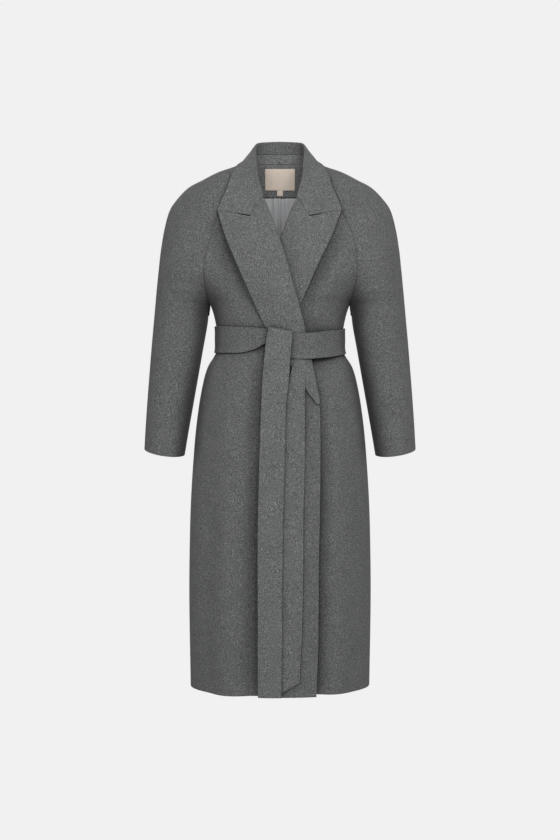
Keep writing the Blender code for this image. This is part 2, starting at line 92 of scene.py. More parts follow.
# in the tables, reach and turn are in degrees and all else is in metres
Section = namedtuple("Section", "z half_width front back")
Raglan = namedtuple("Raglan", "z seam_x top_x reach ridge_x ridge_z")
Ring = namedtuple("Ring", "z inner_x outer_x half_depth lean y")
Edge = namedtuple("Edge", "z x")
Rise = namedtuple("Rise", "z up")
Station = namedtuple("Station", "seam fold edge")
Girth = namedtuple("Girth", "turn top bottom out")
Strip = namedtuple("Strip", "z left right out")
Fold = namedtuple("Fold", "z x height width")

TABLES = {
    "body": (
        Section(0.022, 0.145, 0.010, 0.0790),
        Section(0.000, 0.160, 0.030, 0.0845),
        Section(-0.030, 0.185, 0.058, 0.0950),
        Section(-0.060, 0.210, 0.076, 0.1040),
        Section(-0.100, 0.235, 0.094, 0.1120),
        Section(-0.150, 0.250, 0.110, 0.1180),
        Section(-0.200, 0.250, 0.121, 0.1190),
        Section(-0.240, 0.232, 0.127, 0.1170),
        Section(-0.275, 0.190, 0.129, 0.1135),
        Section(-0.295, 0.166, 0.128, 0.1110),
        Section(-0.308, 0.1525, 0.126, 0.1090),
        Section(-0.354, 0.1400, 0.119, 0.1020),
        Section(-0.383, 0.1385, 0.116, 0.0990),
        Section(-0.411, 0.1405, 0.118, 0.1010),
        Section(-0.444, 0.1590, 0.126, 0.1100),
        Section(-0.486, 0.1705, 0.133, 0.1190),
        Section(-0.543, 0.1800, 0.139, 0.1280),
        Section(-0.607, 0.1870, 0.143, 0.1350),
        Section(-0.726, 0.1950, 0.147, 0.1430),
        Section(-0.823, 0.1980, 0.149, 0.1470),
        Section(-0.950, 0.1990, 0.150, 0.1490),
        Section(-1.138, 0.1960, 0.150, 0.1500),
    ),
    "raglan": (
        Raglan(0.000, 0.0710, 0.0710, 97, 0.0760, 0.0040),
        Raglan(-0.018, 0.0775, 0.0775, 96, 0.1040, -0.0065),
        Raglan(-0.040, 0.0885, 0.0885, 94, 0.1380, -0.0175),
        Raglan(-0.065, 0.1035, 0.1035, 90, 0.1720, -0.0345),
        Raglan(-0.095, 0.1215, 0.1215, 90, 0.2010, -0.0500),
        Raglan(-0.125, 0.1385, 0.1368, 91, 0.2250, -0.0735),
        Raglan(-0.155, 0.1510, 0.1460, 93, 0.2430, -0.1000),
        Raglan(-0.185, 0.1590, 0.1540, 96, 0.2545, -0.1420),
        Raglan(-0.215, 0.1635, 0.1605, 100, 0.2620, -0.1880),
        Raglan(-0.245, 0.1635, 0.1628, 106, 0.2665, -0.2300),
        Raglan(-0.272, 0.1605, 0.1605, 121, 0.2695, -0.2600),
        Raglan(-0.292, 0.1560, 0.1560, 139, 0.2718, -0.2840),
    ),
    "sleeve": (
        Ring(-0.3055, 0.1535, 0.2735, 0.0785, 0.005, 0.000),
        Ring(-0.345, 0.1592, 0.2769, 0.0725, 0.006, -0.001),
        Ring(-0.400, 0.1690, 0.2816, 0.0668, 0.008, -0.003),
        Ring(-0.460, 0.1795, 0.2862, 0.0620, 0.010, -0.005),
        Ring(-0.520, 0.1900, 0.2905, 0.0590, 0.011, -0.008),
        Ring(-0.580, 0.2005, 0.2942, 0.0555, 0.013, -0.011),
        Ring(-0.628, 0.2085, 0.2967, 0.0530, 0.014, -0.013),
    ),
    "front_edge": (
        Edge(0.000, -0.0590),
        Edge(-0.036, -0.0530),
        Edge(-0.066, -0.0455),
        Edge(-0.084, -0.0363),
        Edge(-0.1254, -0.0191),
        Edge(-0.1674, -0.0042),
        Edge(-0.2046, 0.0084),
        Edge(-0.2645, 0.0248),
        Edge(-0.3161, 0.0395),
        Edge(-0.3747, 0.0543),
        Edge(-0.4305, 0.0655),
        Edge(-0.4719, 0.0741),
        Edge(-0.5275, 0.0831),
        Edge(-0.6771, 0.0842),
        Edge(-0.8500, 0.0815),
        Edge(-1.0100, 0.0800),
        Edge(HEM_Z, 0.0762),
    ),
    "neck_rise": (
        Rise(0.000, 0.0180),
        Rise(-0.018, 0.0130),
        Rise(-0.040, 0.0060),
        Rise(-0.065, 0.0000),
        Rise(HEM_Z, 0.0000),
    ),
    "top_lapel": (
        Edge(-0.1118, -0.1333),
        Edge(-0.1721, -0.1149),
        Edge(-0.2457, -0.0842),
        Edge(-0.3140, -0.0539),
        Edge(-0.3594, -0.0326),
        Edge(-0.4200, 0.0060),
        Edge(-0.4925, 0.0532),
        Edge(-0.5131, 0.0678),
        Edge(-0.5280, 0.0800),
    ),
    "under_lapel": (
        Edge(-0.1118, -0.1310),
        Edge(-0.1721, -0.1080),
        Edge(-0.2220, -0.0843),
        Edge(-0.2594, -0.0675),
        Edge(-0.3157, -0.0425),
        Edge(-0.3700, -0.0170),
        Edge(-0.4200, 0.0090),
        Edge(-0.4925, 0.0520),
        Edge(-0.5280, 0.0780),
    ),
    "band": (
        Girth(357, -0.3770, -0.4280, 0.0106),
        Girth(350, -0.3773, -0.4304, 0.0106),
        Girth(340, -0.3755, -0.4300, 0.0104),
        Girth(329, -0.3730, -0.4274, 0.0092),
        Girth(318, -0.3691, -0.4248, 0.0062),
        Girth(305, -0.3665, -0.4210, 0.0048),
        Girth(285, -0.3617, -0.4161, 0.0042),
        Girth(270, -0.3575, -0.4125, 0.0042),
        Girth(245, -0.3550, -0.4100, 0.0042),
        Girth(215, -0.3530, -0.4070, 0.0042),
        Girth(180, -0.3520, -0.4060, 0.0042),
        Girth(145, -0.3520, -0.4060, 0.0042),
        Girth(115, -0.3530, -0.4080, 0.0042),
        Girth(90, -0.3540, -0.4114, 0.0042),
        Girth(70, -0.3560, -0.4135, 0.0042),
        Girth(50, -0.3590, -0.4155, 0.0042),
        Girth(32, -0.3620, -0.4164, 0.0042),
        Girth(20, -0.3634, -0.4106, 0.0054),
        Girth(15.5, -0.3648, -0.4062, 0.0062),
        Girth(11, -0.3665, -0.3992, 0.0068),
        Girth(8, -0.3668, -0.3960, 0.0070),
    ),
}
COLLAR = (
    Station((0.0000, 0.0785, 0.0190), (0.0000, 0.0770, 0.0695), (0.0000, 0.1010, -0.0180)),
    Station((0.0300, 0.0750, 0.0180), (0.0230, 0.0745, 0.0682), (0.0400, 0.0990, -0.0180)),
    Station((0.0520, 0.0620, 0.0160), (0.0425, 0.0610, 0.0640), (0.0690, 0.0930, -0.0120)),
    Station((0.0650, 0.0400, 0.0130), (0.0510, 0.0400, 0.0560), (0.0820, 0.0635, 0.0005)),
    Station((0.0700, 0.0150, 0.0090), (0.0520, 0.0080, 0.0310), (0.0848, 0.0180, 0.0035)),
    Station((0.0690, -0.0100, 0.0040), (0.0512, -0.0170, 0.0150), (0.0872, -0.0260, 0.0005)),
    Station((0.0670, -0.0180, -0.0020), (0.0505, -0.0290, 0.0065), (0.0950, -0.0480, -0.0110)),
    Station((0.0640, -0.0260, -0.0100), (0.0495, -0.0410, -0.0040), (0.1040, -0.0645, -0.0325)),
    Station((0.0570, -0.0460, -0.0330), (0.0465, -0.0655, -0.0370), (0.1138, -0.0778, -0.0645)),
    Station((0.0480, -0.0630, -0.0600), (0.0385, -0.0830, -0.0690), (0.1235, -0.0840, -0.0870)),
)
TAIL_FRONT = (
    Strip(-0.3749, -0.0200, 0.0240, 0.0070),
    Strip(-0.3660, -0.0225, 0.0255, 0.0080),
    Strip(-0.3625, -0.0238, 0.0262, 0.0115),
    Strip(-0.3645, -0.0242, 0.0263, 0.0160),
    Strip(-0.3710, -0.0252, 0.0259, 0.0185),
    Strip(-0.3850, -0.0280, 0.0249, 0.0196),
    Strip(-0.4030, -0.0305, 0.0236, 0.0196),
    Strip(-0.4244, -0.0324, 0.0219, 0.0186),
    Strip(-0.4604, -0.0355, 0.0196, 0.0160),
    Strip(-0.5172, -0.0385, 0.0136, 0.0135),
    Strip(-0.6237, -0.0423, 0.0104, 0.0120),
    Strip(-0.7814, -0.0461, 0.0060, 0.0115),
    Strip(-0.9739, -0.0460, 0.0044, 0.0115),
    Strip(-1.1365, -0.0460, 0.0029, 0.0115),
)
TAIL_BACK = (
    Strip(-0.4100, 0.0300, 0.0510, 0.0068),
    Strip(-0.4300, 0.0310, 0.0522, 0.0070),
    Strip(-0.4567, 0.0230, 0.0526, 0.0072),
    Strip(-0.5423, 0.0060, 0.0526, 0.0074),
    Strip(-0.6503, 0.0000, 0.0521, 0.0056),
    Strip(-0.7564, -0.0020, 0.0493, 0.0056),
    Strip(-0.8505, -0.0030, 0.0489, 0.0056),
    Strip(-0.9826, -0.0060, 0.0466, 0.0056),
    Strip(-1.1060, -0.0100, 0.0413, 0.0056),
)
KNOT = (
    Strip(-0.3755, -0.0170, 0.0150, 0.0070),
    Strip(-0.3880, -0.0190, 0.0120, 0.0070),
    Strip(-0.4010, -0.0210, 0.0080, 0.0070),
)

# ---- soft troughs (negative height) and ridges of the cloth, each a line down the coat ----
FRONT_FOLDS = (
    # beside the hanging end, deeper and wider towards the hem
    (Fold(-0.430, -0.044, 0.0, 0.012), Fold(-0.470, -0.046, -0.0060, 0.014),
     Fold(-0.560, -0.050, -0.0100, 0.018), Fold(-0.750, -0.054, -0.0135, 0.022),
     Fold(-0.950, -0.056, -0.0155, 0.026), Fold(HEM_Z, -0.058, -0.0165, 0.030)),
    # down the wearer's right side
    (Fold(-0.620, -0.147, 0.0, 0.018), Fold(-0.730, -0.150, -0.0032, 0.019),
     Fold(-0.950, -0.154, -0.0050, 0.023), Fold(HEM_Z, -0.157, -0.0060, 0.027)),
    (Fold(-0.430, -0.104, 0.0, 0.024), Fold(-0.520, -0.107, 0.0022, 0.027),
     Fold(-0.800, -0.113, 0.0040, 0.029), Fold(HEM_Z, -0.117, 0.0050, 0.033)),
    # under front, beyond the top front's edge
    (Fold(-0.430, 0.112, 0.0, 0.019), Fold(-0.520, 0.116, 0.0020, 0.021),
     Fold(-0.620, 0.121, 0.0030, 0.025), Fold(-0.800, 0.126, 0.0020, 0.029),
     Fold(HEM_Z, 0.129, 0.0026, 0.033)),
    (Fold(-0.600, 0.152, 0.0, 0.018), Fold(-0.800, 0.158, -0.0024, 0.019),
     Fold(HEM_Z, 0.161, -0.0042, 0.024)),
    # chest, beside the lapels
    (Fold(-0.095, -0.138, 0.0, 0.018), Fold(-0.160, -0.131, -0.0120, 0.023),
     Fold(-0.220, -0.110, -0.0180, 0.028), Fold(-0.290, -0.080, -0.0130, 0.027),
     Fold(-0.352, -0.056, 0.0, 0.020)),
    (Fold(-0.100, 0.134, 0.0, 0.016), Fold(-0.165, 0.120, -0.0080, 0.019),
     Fold(-0.220, 0.096, -0.0110, 0.021), Fold(-0.290, 0.066, -0.0080, 0.021),
     Fold(-0.340, 0.050, 0.0, 0.018)),
    (Fold(-0.265, 0.083, 0.0, 0.008), Fold(-0.300, 0.081, 0.0015, 0.008),
     Fold(-0.335, 0.079, 0.0020, 0.009), Fold(-0.362, 0.078, 0.0, 0.009)),
    (Fold(-0.310, -0.073, 0.0, 0.005), Fold(-0.330, -0.061, 0.0014, 0.005),
     Fold(-0.352, -0.045, 0.0017, 0.005), Fold(-0.364, -0.036, 0.0, 0.005)),
    # where the belt gathers the skirt
    (Fold(-0.412, -0.084, 0.0, 0.007), Fold(-0.436, -0.086, 0.0016, 0.009),
     Fold(-0.490, -0.090, 0.0008, 0.012), Fold(-0.550, -0.093, 0.0, 0.014)),
    (Fold(-0.412, -0.118, 0.0, 0.006), Fold(-0.440, -0.124, -0.0014, 0.008),
     Fold(-0.500, -0.131, -0.0007, 0.012), Fold(-0.560, -0.135, 0.0, 0.014)),
    (Fold(-0.412, 0.101, 0.0, 0.007), Fold(-0.438, 0.107, -0.0014, 0.008),
     Fold(-0.500, 0.112, -0.0006, 0.011), Fold(-0.550, 0.114, 0.0, 0.013)),
    (Fold(-0.410, 0.124, 0.0, 0.007), Fold(-0.436, 0.133, 0.0015, 0.009),
     Fold(-0.500, 0.142, 0.0008, 0.012), Fold(-0.560, 0.147, 0.0, 0.014)),
)
BACK_FOLDS = (
    (Fold(-0.130, -0.060, 0.0, 0.022), Fold(-0.240, -0.058, -0.0028, 0.022),
     Fold(-0.320, -0.052, -0.0036, 0.016), Fold(-0.362, -0.048, 0.0, 0.012)),
    (Fold(-0.120, 0.064, 0.0, 0.022), Fold(-0.240, 0.061, -0.0032, 0.022),
     Fold(-0.320, 0.056, -0.0030, 0.016), Fold(-0.362, 0.052, 0.0, 0.012)),
    (Fold(-0.230, 0.004, 0.0, 0.016), Fold(-0.310, 0.006, 0.0030, 0.016), Fold(-0.362, 0.006, 0.0, 0.011)),
    (Fold(-0.250, -0.102, 0.0, 0.014), Fold(-0.320, -0.098, 0.0028, 0.014),
     Fold(-0.362, -0.092, 0.0, 0.010)),
    (Fold(-0.250, 0.108, 0.0, 0.014), Fold(-0.320, 0.103, 0.0025, 0.014), Fold(-0.362, 0.097, 0.0, 0.010)),
    (Fold(-0.412, -0.040, 0.0, 0.009), Fold(-0.450, -0.044, -0.0028, 0.012),
     Fold(-0.600, -0.052, -0.0046, 0.020), Fold(-0.850, -0.060, -0.0070, 0.027),
     Fold(HEM_Z, -0.064, -0.0088, 0.032)),
    (Fold(-0.412, 0.046, 0.0, 0.009), Fold(-0.455, 0.050, -0.0026, 0.012),
     Fold(-0.620, 0.058, -0.0040, 0.021), Fold(-0.880, 0.065, -0.0060, 0.028),
     Fold(HEM_Z, 0.069, -0.0078, 0.033)),
    (Fold(-0.412, 0.004, 0.0, 0.008), Fold(-0.450, 0.004, 0.0022, 0.012),
     Fold(-0.650, 0.003, 0.0036, 0.022), Fold(HEM_Z, 0.002, 0.0052, 0.032)),
    (Fold(-0.430, -0.098, 0.0, 0.012), Fold(-0.520, -0.108, 0.0024, 0.020),
     Fold(HEM_Z, -0.122, 0.0040, 0.030)),
    (Fold(-0.430, 0.104, 0.0, 0.012), Fold(-0.540, 0.113, 0.0022, 0.021),
     Fold(HEM_Z, 0.126, 0.0044, 0.031)),
    (Fold(-0.620, -0.158, 0.0, 0.016), Fold(-0.800, -0.163, -0.0030, 0.018),
     Fold(HEM_Z, -0.166, -0.0050, 0.022)),
    (Fold(-0.640, 0.156, 0.0, 0.016), Fold(-0.840, 0.162, -0.0026, 0.018),
     Fold(HEM_Z, 0.165, -0.0046, 0.022)),
)
for face, lines in (("front", FRONT_FOLDS), ("back", BACK_FOLDS)):
    for n, line in enumerate(lines):
        TABLES[f"{face}_fold_{n}"] = line


# ---- curves ----
NO_GAP = 1e-6


@lru_cache(maxsize=None)
def read(name, z):
    """Read a table at z, its first column, with a smooth curve through its rows, the highest one first."""
    rows = TABLES[name]
    if z >= rows[0][0]:
        return rows[0]
    if z <= rows[-1][0]:
        return rows[-1]
    i = next(k for k in range(len(rows) - 1) if rows[k + 1][0] <= z)
    a, b = rows[i], rows[i + 1]
    before, after = rows[max(i - 1, 0)], rows[min(i + 2, len(rows) - 1)]
    step = b[0] - a[0]
    t = (z - a[0]) / step
    values = []
    for k in range(len(a)):
        m0 = (b[k] - before[k]) / (b[0] - before[0]) * step
        m1 = (after[k] - a[k]) / (after[0] - a[0]) * step
        h = (2 * t**3 - 3 * t**2 + 1) * a[k] + (t**3 - 2 * t**2 + t) * m0
        values.append(h + (3 * t**2 - 2 * t**3) * b[k] + (t**3 - t**2) * m1)
    return type(a)(*values)


def through(points, counts):
    """Smooth curve or surface through rows of points: counts[i] steps from row i to the next."""
    points = np.asarray(points, float)
    gaps = np.linalg.norm(np.diff(points, axis=0), axis=-1)
    gaps = gaps if gaps.ndim == 1 else gaps.mean(axis=tuple(range(1, gaps.ndim)))
    gaps = np.maximum(gaps, NO_GAP)
    shape = (-1,) + (1,) * (points.ndim - 1)
    slopes = np.diff(points, axis=0) / gaps.reshape(shape)
    tangents = np.empty_like(points)
    tangents[0], tangents[-1] = slopes[0], slopes[-1]
    before, after = gaps[:-1].reshape(shape), gaps[1:].reshape(shape)
    tangents[1:-1] = (after * slopes[:-1] + before * slopes[1:]) / (before + after)
    out = []
    for i, count in enumerate(counts):
        for k in range(count + (i == len(counts) - 1)):
            t = k / count
            h = (2 * t**3 - 3 * t**2 + 1) * points[i] + (3 * t**2 - 2 * t**3) * points[i + 1]
            out.append(h + ((t**3 - 2 * t**2 + t) * tangents[i] + (t**3 - t**2) * tangents[i + 1]) * gaps[i])
    return np.array(out)


def steps(points, pitch, least=2):
    """How many steps each span of a row of points takes at about that pitch."""
    points = np.asarray(points, float)
    gaps = np.linalg.norm(np.diff(points, axis=0), axis=-1)
    gaps = gaps if gaps.ndim == 1 else gaps.max(axis=tuple(range(1, gaps.ndim)))
    return [max(least, int(math.ceil(g / pitch))) for g in gaps]


def smooth(t):
    t = min(max(t, 0.0), 1.0)
    return t * t * (3 - 2 * t)


def lerp(a, b, t):
    return a + (b - a) * t


def zs_down(top, bottom, pitch):
    count = int(math.ceil((top - bottom) / pitch))
    return [lerp(top, bottom, k / count) for k in range(count + 1)]


# ---- the body's form ----
BELT_Z = -0.387
BELT_HALF = 0.026
BELT_FADE = 0.020
SIDE_FADE = 0.07
FOLD_REACH = 4
DRIFT = 0.0005
DRIFT_FINE_SHARE = 0.6
BROAD_WAVE = (37, 11)
CROSS_WAVE = (-9, 23)
FINE_WAVE = (71, -29)
RISE_POWER = 4


def above_armpit(z):
    return z > ARMPIT_Z + ARMPIT_NEAR


def wave(radians_per_metre, x, z, shift=0):
    return math.sin(radians_per_metre[0] * x + radians_per_metre[1] * z + shift)


def drift(x, z, face):
    """Slow rise and fall of the cloth, in waves 8 to 14 cm long, other ones behind than in front."""
    broad = wave(BROAD_WAVE, x, z) * wave(CROSS_WAVE, x, z, face)
    return DRIFT * (broad + DRIFT_FINE_SHARE * wave(FINE_WAVE, x, z, 2 * face))


def relief(x, z, face):
    """Height of the folds at a place, none of it under the belt or at the side seam."""
    lines = FRONT_FOLDS if face < 0 else BACK_FOLDS
    side = "front" if face < 0 else "back"
    total = 0.0
    for n in range(len(lines)):
        fold = read(f"{side}_fold_{n}", z)
        if fold.height:
            off = (x - fold.x) / fold.width
            if abs(off) < FOLD_REACH:
                total += fold.height * math.exp(-off * off)
    total += drift(x, z, face)
    if not above_armpit(z):
        total *= smooth((1 - abs(x) / read("body", z).half_width) / SIDE_FADE)
    return total * smooth((abs(z - BELT_Z) - BELT_HALF) / BELT_FADE)


def girth_angle(x, half_width):
    share = min(abs(x) / half_width, 1.0)
    return math.copysign(math.asin(share ** (ROUNDNESS / 2)), x)


def body_point(angle, z, out=0.0, face=-1, folded=True):
    """Point of the body at an angle from its middle, out metres off its folded outer face."""
    section = read("body", z)
    depth = section.front if face < 0 else section.back
    across = abs(math.sin(angle)) ** (2 / ROUNDNESS)
    if folded:
        out += relief(math.copysign(section.half_width * across, angle), z, face)
    x = (section.half_width + out) * across
    y = (depth + out) * abs(math.cos(angle)) ** (2 / ROUNDNESS)
    return np.array((math.copysign(x, angle), face * y, z))


def on_body(x, z, out=0.0, face=-1):
    """Point x to the side of the body's middle, out metres off its plain outer face."""
    return body_point(girth_angle(x, read("body", z).half_width + out), z, out, face, False)


def side_x(z, side, face):
    """Half-width of a body panel: the raglan seam above the armpit, the side seam below it."""
    if not above_armpit(z):
        return read("body", z).half_width
    low = TABLES["raglan"][-1]
    if z < low.z:
        return lerp(low.seam_x, read("body", ARMPIT_Z).half_width, (z - low.z) / (ARMPIT_Z - low.z))
    station = read("raglan", z)
    return station.top_x if side < 0 and face < 0 else station.seam_x


def side_angle(z, side=1, face=1):
    if above_armpit(z):
        return girth_angle(side_x(z, side, face), read("body", z).half_width)
    return math.pi / 2


def under_inset(x, z):
    """How far in the under front lies below the top front's lapel and edge, hollowed beside that edge."""
    edge = read("front_edge", z).x
    depth = lerp(UNDER_INSET, UNDER_INSET_SKIRT, smooth((BREAK_Z - z) / INSET_CHANGE))
    off = (x - edge - HOLLOW_OFF) / HOLLOW_WIDTH
    hollow = UNDER_HOLLOW * smooth((HOLLOW_TOP - z) / HOLLOW_FADE) * math.exp(-off ** 2)
    return depth * (1 - smooth((x - edge) / UNDER_RISE)) + hollow


def seam_shift(z, side, face):
    """Shift of a row's side end off its seam, by the seam's gap."""
    if above_armpit(z):
        return np.array((-side * SEAM_GAP, 0.0, 0.0))
    return np.array((0.0, face * SEWN_GAP, 0.0))


# ---- making a piece of cloth ----
EDGE_SEGMENTS = 2
EDGE_ANGLE = 50


def body_axis(centres):
    return centres * (0.0, 0.0, 1.0)


def grid_mesh(name, grid, closed_from, inside):
    """Mesh through a grid of points, faces turned outward; its rows from closed_from on are closed rings."""
    grid = np.asarray(grid, float)
    rows, columns = grid.shape[:2]
    index = np.arange(rows * columns).reshape(rows, columns)
    if closed_from is not None:
        index[closed_from:, -1] = index[closed_from:, 0]
    corners = (index[:-1, :-1], index[:-1, 1:], index[1:, 1:], index[1:, :-1])
    faces = np.stack(corners, -1).reshape(-1, len(corners))
    points = grid.reshape(-1, 3)
    a, b, c, d = (points[faces[:, k]] for k in range(len(corners)))
    normals = np.cross(c - a, d - b)
    centres = (a + b + c + d) / len(corners)
    if (normals * (centres - inside(centres))).sum() < 0:
        faces = faces[:, ::-1]
    used = np.unique(faces)
    place = np.full(len(points), -1)
    place[used] = np.arange(len(used))
    mesh = bpy.data.meshes.new(name)
    mesh.from_pydata(points[used].tolist(), [], place[faces].tolist())
    mesh.polygons.foreach_set("use_smooth", np.ones(len(faces), bool))
    return mesh


def cloth(name, grid, wall, look, node, closed_from=None, inside=body_axis, side=-1, edge=EDGE_ROUND):
    """Cloth with rounded edges through a grid of points: its wall grows inward, or both ways at side 0."""
    mesh = grid_mesh(name, grid, closed_from, inside)
    piece = bpy.data.objects.new(name, mesh)
    bpy.context.scene.collection.objects.link(piece)
    mesh.materials.append(look)
    solidify = piece.modifiers.new("wall", "SOLIDIFY")
    solidify.thickness = wall
    solidify.offset = side
    solidify.use_even_offset = False
    rounding = piece.modifiers.new("turned_edge", "BEVEL")
    rounding.width = edge
    rounding.segments = EDGE_SEGMENTS
    rounding.limit_method = "ANGLE"
    rounding.angle_limit = math.radians(EDGE_ANGLE)
    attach(piece, "root")
    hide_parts(node)
    return piece


# ---- materials ----
NOISE_LOW = 0.3
NOISE_HIGH = 0.7
# reach and samples of the ambient occlusion that paints shade into the wool's colour in creases and beside
# raised layers
PAINTED_SHADE_REACH = 0.06
PAINTED_SHADE_SAMPLES = 12
FLECK_SHARE = 0.62
FIBRE_SHARE = 0.38
WOOL_STOPS = (
    (0.36, (0.048, 0.050, 0.050)),
    (0.48, (0.104, 0.107, 0.106)),
    (0.56, (0.166, 0.170, 0.168)),
    (0.68, (0.335, 0.340, 0.338)),
)
SATIN_STOPS = (
    (0.3, (0.400, 0.404, 0.412)),
    (0.7, (0.510, 0.515, 0.523)),
)
LABEL_STOPS = (
    (0.0, (0.640, 0.540, 0.455)),
    (1.0, (0.730, 0.620, 0.525)),
)


def shader_nodes(name):
    look = bpy.data.materials.new(name)
    look.use_nodes = True
    tree = look.node_tree
    return look, tree, tree.nodes["Principled BSDF"]


def add(tree, kind, **values):
    made = tree.nodes.new(kind)
    for key, value in values.items():
        if hasattr(made, key):
            setattr(made, key, value)
        else:
            made.inputs[key.replace("_", " ")].default_value = value
    return made


def noise(tree, where, scale, detail=2.0, roughness=0.6):
    made = add(tree, "ShaderNodeTexNoise", Scale=scale, Detail=detail, Roughness=roughness)
    tree.links.new(where, made.inputs["Vector"])
    return made.outputs["Fac"]


def math_node(tree, operation, a, b):
    made = add(tree, "ShaderNodeMath", operation=operation)
    for slot, value in zip(made.inputs, (a, b)):
        if isinstance(value, (int, float)):
            slot.default_value = value
        else:
            tree.links.new(value, slot)
    return made.outputs[0]


def ramp(tree, fac, stops):
    made = add(tree, "ShaderNodeValToRGB")
    line = made.color_ramp
    while len(line.elements) < len(stops):
        line.elements.new(0.5)
    for element, (at, color) in zip(line.elements, stops):
        element.position = at
        element.color = (*color, 1.0)
    tree.links.new(fac, made.inputs["Fac"])
    return made.outputs["Color"]


def scaled(tree, color, amount):
    made = add(tree, "ShaderNodeVectorMath", operation="SCALE")
    tree.links.new(color, made.inputs[0])
    tree.links.new(amount, made.inputs["Scale"])
    return made.outputs[0]


def tinted(tree, color, fac, low, high):
    """Colour multiplied by a value that runs from low to high with fac."""
    spread = add(tree, "ShaderNodeMapRange")
    spread.inputs["From Min"].default_value = NOISE_LOW
    spread.inputs["From Max"].default_value = NOISE_HIGH
    spread.inputs["To Min"].default_value = low
    spread.inputs["To Max"].default_value = high
    tree.links.new(fac, spread.inputs["Value"])
    return scaled(tree, color, spread.outputs[0])


def bumped(tree, shader, height, strength, distance):
    made = add(tree, "ShaderNodeBump")
    made.inputs["Strength"].default_value = strength
    made.inputs["Distance"].default_value = distance
    tree.links.new(height, made.inputs["Height"])
    tree.links.new(made.outputs["Normal"], shader.inputs["Normal"])


def wool(name, tone, painted_crease_shade=0.0):
    """Matt grey melange coating: dark and light fibres in flecks; an ambient-occlusion factor darkens its
    colour, painted shade in creases and beside raised layers.
    """
    look, tree, shader = shader_nodes(name)
    where = add(tree, "ShaderNodeTexCoord").outputs["Object"]
    flecks = noise(tree, where, scale=500.0, roughness=0.65)
    fibres = noise(tree, where, scale=1250.0, roughness=0.7)
    clouds = noise(tree, where, scale=26.0, detail=3.0)
    coarse = math_node(tree, "MULTIPLY", flecks, FLECK_SHARE)
    both = math_node(tree, "ADD", coarse, math_node(tree, "MULTIPLY", fibres, FIBRE_SHARE))
    color = ramp(tree, both, [(at, [tone * c for c in tint]) for at, tint in WOOL_STOPS])
    color = tinted(tree, color, clouds, low=0.94, high=1.06)
    # painted shade: the base colour is multiplied by the ambient-occlusion factor raised to this power,
    # darker in creases and beside raised layers
    if painted_crease_shade:
        painted_shade_occlusion = add(tree, "ShaderNodeAmbientOcclusion", samples=PAINTED_SHADE_SAMPLES)
        painted_shade_occlusion.inputs["Distance"].default_value = PAINTED_SHADE_REACH
        color = scaled(tree, color, math_node(tree, "POWER", painted_shade_occlusion.outputs["AO"], painted_crease_shade))
    tree.links.new(color, shader.inputs["Base Color"])
    shader.inputs["Roughness"].default_value = 0.92
    shader.inputs["Specular IOR Level"].default_value = 0.18
    shader.inputs["Sheen Weight"].default_value = 0.12
    shader.inputs["Sheen Roughness"].default_value = 0.6
    bumped(tree, shader, both, strength=0.45, distance=0.0009)
    return look


def satin():
    """Grey lining with a soft gloss and a fine thread across it."""
    look, tree, shader = shader_nodes("lining_satin_look")
    where = add(tree, "ShaderNodeTexCoord").outputs["Object"]
    stretch = add(tree, "ShaderNodeMapping")
    stretch.inputs["Scale"].default_value = (0.25, 0.25, 1.0)
    tree.links.new(where, stretch.inputs["Vector"])
    threads = noise(tree, stretch.outputs[0], scale=2400.0, detail=1.0)
    clouds = noise(tree, where, scale=34.0)
    color = ramp(tree, threads, SATIN_STOPS)
    color = tinted(tree, color, clouds, low=0.95, high=1.05)
    tree.links.new(color, shader.inputs["Base Color"])
    shader.inputs["Roughness"].default_value = 0.42
    shader.inputs["Specular IOR Level"].default_value = 0.5
    shader.inputs["Sheen Weight"].default_value = 0.2
    bumped(tree, shader, threads, strength=0.2, distance=0.0002)
    return look


def woven_label():
    """Beige satin-woven label with nothing on it."""
    look, tree, shader = shader_nodes("label_satin_look")
    where = add(tree, "ShaderNodeTexCoord").outputs["Object"]
    waves = add(tree, "ShaderNodeTexWave", Scale=420.0, Distortion=0.6, Detail=1.0, bands_direction="Z")
    tree.links.new(where, waves.inputs["Vector"])
    clouds = noise(tree, where, scale=130.0)
    color = ramp(tree, waves.outputs["Fac"], LABEL_STOPS)
    color = tinted(tree, color, clouds, low=0.96, high=1.04)
    tree.links.new(color, shader.inputs["Base Color"])
    shader.inputs["Roughness"].default_value = 0.55
    shader.inputs["Sheen Weight"].default_value = 0.15
    bumped(tree, shader, waves.outputs["Fac"], strength=0.25, distance=0.0002)
    return look


# the outer wool, with the strongest painted shade in its creases
WOOL = wool("wool_look", tone=0.91, painted_crease_shade=1.5)
# lighter copy of the same wool, with weaker painted crease shade, for the lapels, collar and hanging belt
# ends: painted light on the pieces that stand out in front
WOOL_PAINTED_LIGHTER = wool("wool_painted_lighter_look", tone=1.0, painted_crease_shade=1.1)
# lighter copy of the same wool, without painted crease shade, for the collar stand and neck facing: painted
# light inside the neck, where shade falls
WOOL_INNER_PAINTED_LIGHT = wool("wool_inner_painted_light_look", tone=1.18)
SATIN = satin()
LABEL = woven_label()

# ---- body panels ----
PITCH = 0.0040
FRONT_COLUMNS = 84
BACK_COLUMNS = 132


def zs_past_armpit(top, bottom, pitch=PITCH, low_pitch=PITCH):
    """Heights of a panel's rows, one of them at the armpit."""
    return zs_down(top, ARMPIT_Z, pitch) + zs_down(ARMPIT_Z, bottom, low_pitch)[1:]


def shares_across(columns, left_out=0):
    """Places across the back, from -1 to 1 without the outermost columns that are left out."""
    return [2 * j / columns - 1 for j in range(left_out, columns - left_out + 1)]


